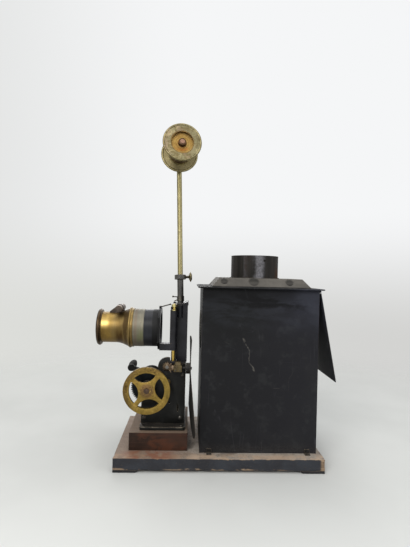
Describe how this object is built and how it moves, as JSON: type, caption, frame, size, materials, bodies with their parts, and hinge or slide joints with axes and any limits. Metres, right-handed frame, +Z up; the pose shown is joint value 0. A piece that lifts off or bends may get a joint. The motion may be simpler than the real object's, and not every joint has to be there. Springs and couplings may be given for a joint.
{
  "type": "hand-cranked film projector",
  "caption": "Hand-cranked film projector with geared film movement, racked lens on a hinged gate, reel arm and oil-lamp house on one wooden board.",
  "frame": {"origin": "middle of the baseboard's outline, on the table", "axes": "+X from the lens towards the lamphouse, +Y away from the hand wheel, +Z up"},
  "size_m": [0.3373, 0.1829, 0.4792],
  "materials": {
    "board_wood": "worn dark paint over softwood, dusty",
    "batten_wood": "worn dark paint",
    "plinth_wood": "brown-red stained",
    "grip_wood": "turned, polished by hands",
    "frame_black": "black japanned iron, worn edges",
    "gate_black": "satin black lacquer",
    "collar_black": "satin black",
    "old_steel": "dull, oily",
    "shaft_steel": "turned",
    "gear_iron": "dark, oily",
    "gear_brass": "cut teeth, oily",
    "fitting_brass": "turned, tarnished",
    "wheel_brass": "golden with brown tarnish",
    "plate_steel": "polished by film",
    "wire_steel": "drawn wire",
    "bevel_steel": "dark, oily",
    "blade_black": "thin sheet, dull black",
    "tube_black": "satin black lacquer",
    "sleeve_zinc": "dull grey zinc",
    "jacket_brass": "lacquered, tarnished in bands",
    "front_brass": "olive brown tarnish",
    "optical_glass": "polished",
    "knob_brass": "dark brown, knurled",
    "screw_brass": "turned",
    "rod_brass": "pale, greenish",
    "reel_brass": "spun, olive to orange tarnish",
    "core_brass": "rolled sheet",
    "block_brass": "dull, oily",
    "pin_brass": "rubbed bright",
    "axle_steel": "brown with old oil",
    "hub_black": "blacked steel",
    "arm_black": "blacked, worn at the edges",
    "house_sheet": "black japanned sheet, scratched",
    "roof_sheet": "dusty black",
    "chimney_sheet": "burnt, rust at one side",
    "cell_black": "matt black",
    "tank_brass": "spun",
    "burner_brass": "turned",
    "lamp_glass": "blown, sooty at the top",
    "reflector_tin": "tinned, polished"
  },
  "bodies": {
    "frame": {"baseboard": "board_wood", "battens": "batten_wood", "plinth": "plinth_wood", "foot_flange": "frame_black", "frame_screws": "old_steel", "side_plate_near": "frame_black", "side_plate_far": "frame_black", "frame_pillars": "old_steel", "shaft_bushes": "fitting_brass", "gate_bridge": "gate_black", "gate_casting": "gate_black", "aperture_plate": "plate_steel", "film_guide_wires": "wire_steel", "hinge_pin": "pin_brass", "bearing_block": "block_brass", "arm_socket": "collar_black", "house_sides": "house_sheet", "house_front": "house_sheet", "house_rear": "house_sheet", "condenser_cell": "cell_black", "condenser_lenses": "optical_glass", "roof": "roof_sheet", "chimney_collar": "chimney_sheet"},
    "crank": {"main_shaft": "axle_steel", "hand_wheel": "wheel_brass", "main_gear": "gear_iron", "crank_arm": "arm_black"},
    "grip": {"crank_grip": "grip_wood"},
    "feed": {"sprocket_shaft": "shaft_steel", "feed_sprocket": "gear_brass", "sprocket_large_gear": "gear_brass"},
    "beater": {"beater_crank": "shaft_steel", "beater_bevel": "bevel_steel"},
    "dog_roller": {"beater_roller": "plate_steel"},
    "shutter": {"shutter_shaft": "hub_black", "shutter_bevel": "bevel_steel", "shutter_blade": "blade_black"},
    "exit": {"exit_roller": "plate_steel"},
    "lens_door": {"lens_carrier": "gate_black", "gate_door": "gate_black", "black_tube": "tube_black", "zinc_sleeve": "sleeve_zinc", "lens_jacket": "jacket_brass", "pinion_box": "knob_brass"},
    "pressure": {"pressure_frame": "plate_steel"},
    "latch": {"door_latch": "wire_steel"},
    "focus_tube": {"lens_tube": "front_brass", "lens_glasses": "optical_glass"},
    "focus_knob": {"focus_pinion": "knob_brass"},
    "collar": {"clamp_collar": "collar_black"},
    "clamp": {"clamp_screw": "screw_brass"},
    "rod": {"reel_rod": "rod_brass"},
    "reel": {"reel_cheeks": "reel_brass", "reel_core": "core_brass"},
    "flap": {"rear_flap": "house_sheet"},
    "lamp": {"lamp_tank": "tank_brass", "lamp_burner": "burner_brass", "lamp_glass": "lamp_glass", "reflector": "reflector_tin"},
    "wick": {"wick_knob": "burner_brass"}
  },
  "joints": [
    {"name": "crank_turn", "type": "hinge", "parent": "frame", "child": "crank", "pos_m": [-0.101, 0, 0.0983], "axis": [0, 1, 0], "continuous": true},
    {"name": "grip_spin", "type": "hinge", "parent": "crank", "child": "grip", "pos_m": [-0.13457, 0.06, 0.10986], "axis": [0, 1, 0], "continuous": true},
    {"name": "sprocket_turn", "type": "hinge", "parent": "frame", "child": "feed", "pos_m": [-0.07308, 0, 0.10703], "axis": [0, 1, 0], "continuous": true},
    {"name": "beater_turn", "type": "hinge", "parent": "frame", "child": "beater", "pos_m": [-0.0742, 0, 0.1286], "axis": [0, 1, 0], "continuous": true},
    {"name": "dog_roller_spin", "type": "hinge", "parent": "beater", "child": "dog_roller", "pos_m": [-0.0637, 0, 0.1286], "axis": [0, 1, 0], "continuous": true},
    {"name": "shutter_turn", "type": "hinge", "parent": "frame", "child": "shutter", "pos_m": [-0.06, -0.0415, 0.1286], "axis": [1, 0, 0], "continuous": true},
    {"name": "exit_roller_spin", "type": "hinge", "parent": "frame", "child": "exit", "pos_m": [-0.084, 0, 0.07], "axis": [0, 1, 0], "continuous": true},
    {"name": "lens_door_swing", "type": "hinge", "parent": "frame", "child": "lens_door", "pos_m": [-0.066, -0.0305, 0.179], "axis": [0, 0, 1], "range_deg": [0, 95]},
    {"name": "pressure_frame_press", "type": "slide", "parent": "lens_door", "child": "pressure", "axis": [-1, 0, 0], "range_m": [0, 0.0008], "stiffness_N_per_m": 600, "springref_m": -0.002},
    {"name": "latch_lift", "type": "hinge", "parent": "lens_door", "child": "latch", "pos_m": [-0.0878, 0, 0.2102], "axis": [0, -1, 0], "range_deg": [0, 60]},
    {"name": "focus_slide", "type": "slide", "parent": "lens_door", "child": "focus_tube", "axis": [-1, 0, 0], "range_m": [0, 0.016]},
    {"name": "focus_knob_turn", "type": "hinge", "parent": "lens_door", "child": "focus_knob", "pos_m": [-0.147, 0, 0.20765], "axis": [0, 1, 0], "range_deg": [-5, 240]},
    {"name": "collar_swivel", "type": "hinge", "parent": "frame", "child": "collar", "pos_m": [-0.05951, 0.00478, 0.25538], "axis": [-0.0364, 0.1236, 0.9917], "range_deg": [-90, 90]},
    {"name": "clamp_screw_turn", "type": "hinge", "parent": "collar", "child": "clamp", "pos_m": [-0.04951, 0.00478, 0.25574], "axis": [0.9993, 0, 0.0366], "range_deg": [0, 360]},
    {"name": "rod_slide", "type": "slide", "parent": "collar", "child": "rod", "axis": [-0.0364, 0.1236, 0.9917], "range_m": [-0.002, 0.014]},
    {"name": "reel_spin", "type": "hinge", "parent": "rod", "child": "reel", "pos_m": [-0.06643, 0.02833, 0.44429], "axis": [0.1086, -0.986, 0.1269], "continuous": true},
    {"name": "flap_swing", "type": "hinge", "parent": "frame", "child": "flap", "pos_m": [0.1347, 0, 0.2405], "axis": [0, -1, 0], "range_deg": [-10, 75]},
    {"name": "lamp_slide", "type": "slide", "parent": "frame", "child": "lamp", "axis": [1, 0, 0], "range_m": [-0.008, 0.008]},
    {"name": "wick_turn", "type": "hinge", "parent": "lamp", "child": "wick", "pos_m": [0.052, 0.02, 0.1495], "axis": [0, 1, 0], "range_deg": [0, 360]}
  ],
  "couplings": [
    {"joint": "sprocket_turn", "follows": "crank_turn", "ratio": -4},
    {"joint": "beater_turn", "follows": "crank_turn", "ratio": 8},
    {"joint": "shutter_turn", "follows": "crank_turn", "ratio": -8},
    {"joint": "focus_knob_turn", "follows": "focus_slide", "rad_per_m": 250}
  ]
}
